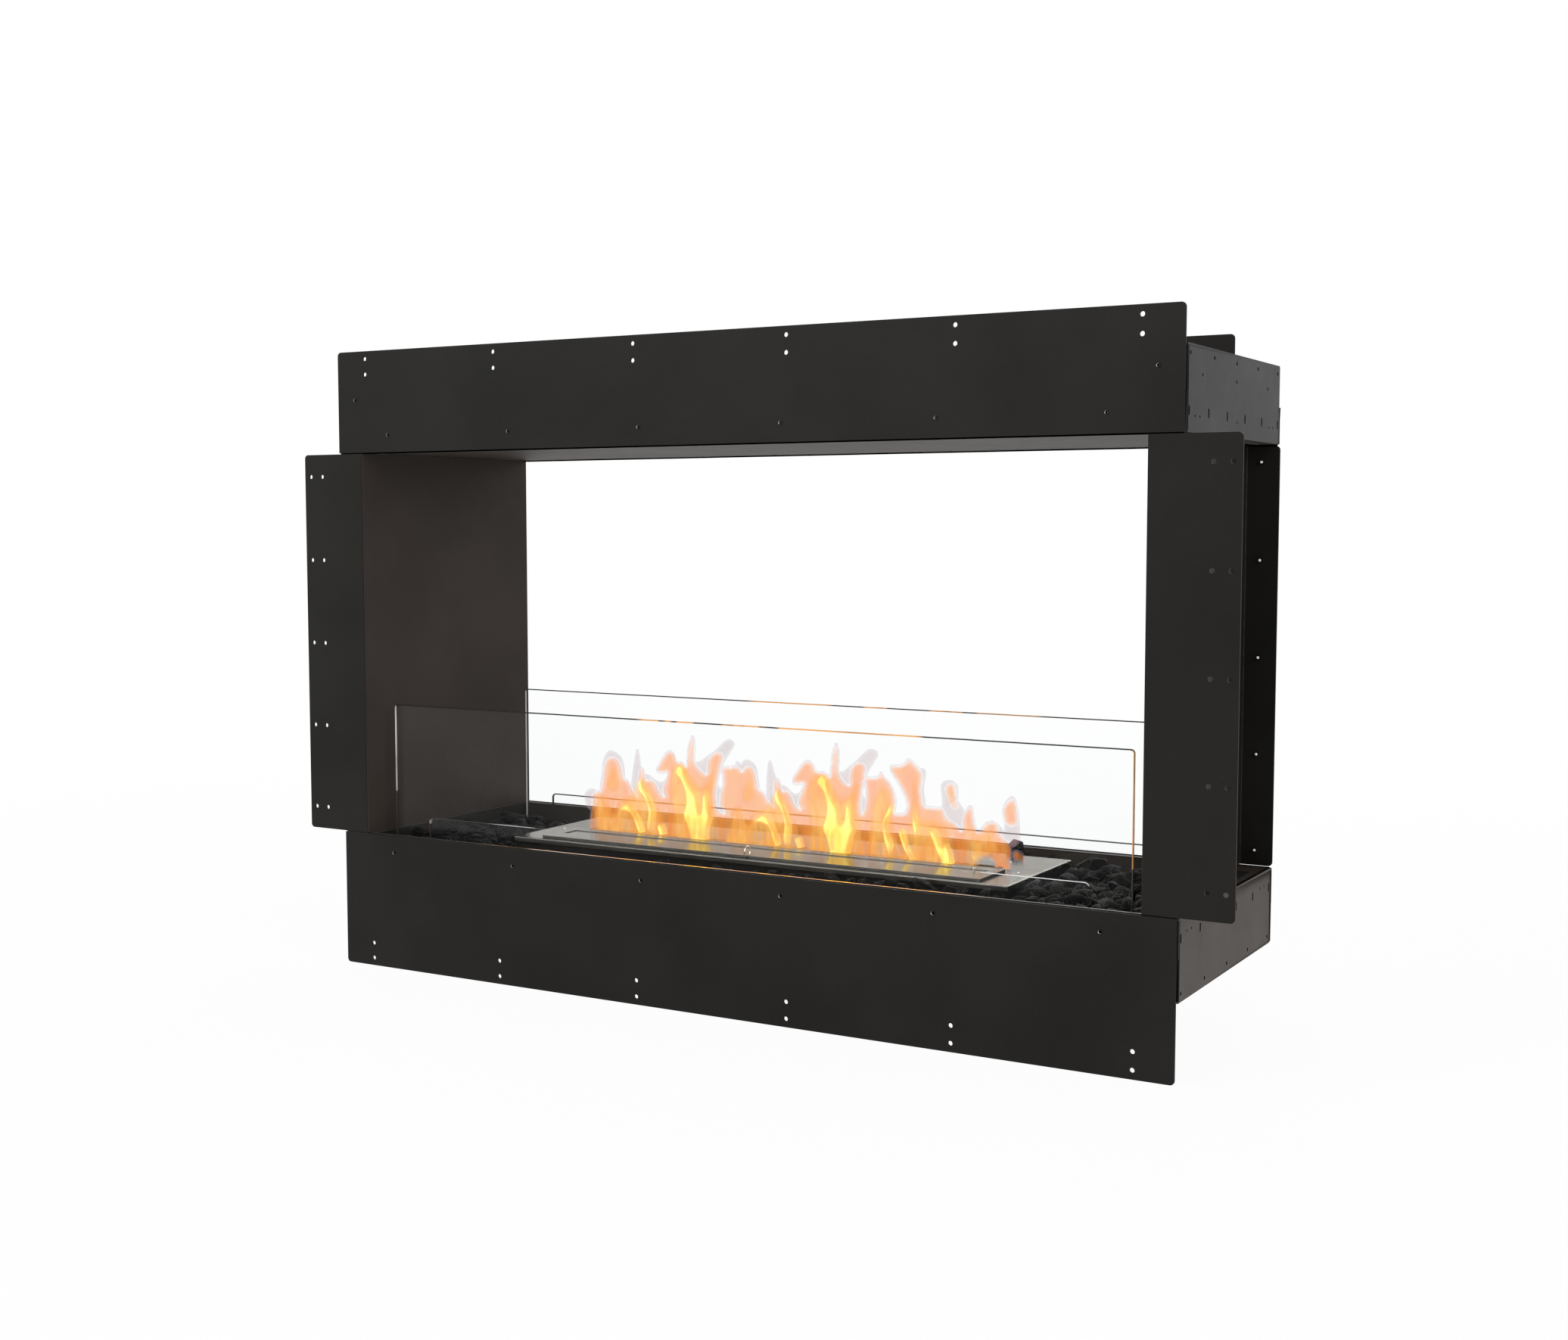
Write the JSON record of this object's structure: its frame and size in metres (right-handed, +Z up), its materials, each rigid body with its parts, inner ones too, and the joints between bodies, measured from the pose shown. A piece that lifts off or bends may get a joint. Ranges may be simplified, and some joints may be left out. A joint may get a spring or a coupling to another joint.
{
  "type": "double-sided fireplace",
  "caption": "Built-in black sheet-steel fire insert, open on both sides, with a slotted stainless burner, sliding lid, glass screens, black stones and flames.",
  "frame": {"origin": "the middle of the underside of the base tray, the flat face that the box rests on in its wall", "axes": "+X along the long side, +Z up; -Y is the side that carries the front plates, +Y the far fire side"},
  "size_m": [1.2678, 0.3504, 0.809],
  "materials": {
    "black_coat": "matt charcoal-black powder coat",
    "end_plate_coat": "the same coat, seen lighter under sky light",
    "stainless": "satin stainless",
    "zinc": "zinc plated",
    "clear_glass": "clear toughened, polished edges",
    "black_stone": "broken black glass stones",
    "ceramic": "porous ceramic fibre",
    "flame": "glowing orange and yellow flame sheets, no solid piece"
  },
  "bodies": {
    "firebox": {"top_front_plate": "black_coat", "bottom_front_plate": "black_coat", "ceiling_tray": "end_plate_coat", "floor_tray": "black_coat", "base_tray": "black_coat", "top_cover": "black_coat", "top_end_plate_left": "end_plate_coat", "top_end_plate_right": "end_plate_coat", "bottom_end_plate_left": "end_plate_coat", "bottom_end_plate_right": "end_plate_coat", "left_side_panel": "black_coat", "right_side_panel": "black_coat", "top_rivet_nut_1": "zinc", "top_rivet_nut_2": "zinc", "top_rivet_nut_3": "zinc", "top_rivet_nut_4": "zinc", "top_rivet_nut_5": "zinc", "top_rivet_nut_6": "zinc", "upper_rivet_nut_1": "zinc", "upper_rivet_nut_2": "zinc", "bottom_rivet_nut_1": "zinc", "bottom_rivet_nut_2": "zinc", "bottom_rivet_nut_3": "zinc", "bottom_rivet_nut_4": "zinc", "bottom_rivet_nut_5": "zinc", "bottom_rivet_nut_6": "zinc", "left_panel_rivet_nut_1": "zinc", "left_panel_rivet_nut_2": "zinc", "left_panel_rivet_nut_3": "zinc", "left_panel_rivet_nut_4": "zinc", "left_panel_rivet_nut_5": "zinc", "right_panel_rivet_nut_1": "zinc", "right_panel_rivet_nut_2": "zinc", "right_panel_rivet_nut_3": "zinc", "right_panel_rivet_nut_4": "zinc", "right_panel_rivet_nut_5": "zinc", "front_glass_channel": "zinc", "tall_glass_front": "clear_glass", "low_glass_front": "clear_glass", "back_glass_channel": "zinc", "tall_glass_back": "clear_glass", "low_glass_back": "clear_glass", "burner_top_plate": "stainless", "burner_tray": "black_coat", "fuel_tank": "stainless", "wick_block": "ceramic", "stone_bed_left": "black_stone", "stone_bed_right": "black_stone", "stone_bed_front": "black_stone", "stone_bed_back": "black_stone", "stone_bed_outer_front": "black_stone", "stone_bed_outer_back": "black_stone"},
    "lid": {"burner_lid": "stainless", "lid_pull_ring": "stainless", "lid_pin": "stainless"}
  },
  "joints": [
    {"name": "lid_slide", "type": "slide", "parent": "firebox", "child": "lid", "axis": [0, 1, 0], "range_m": [0, 0.04]}
  ]
}
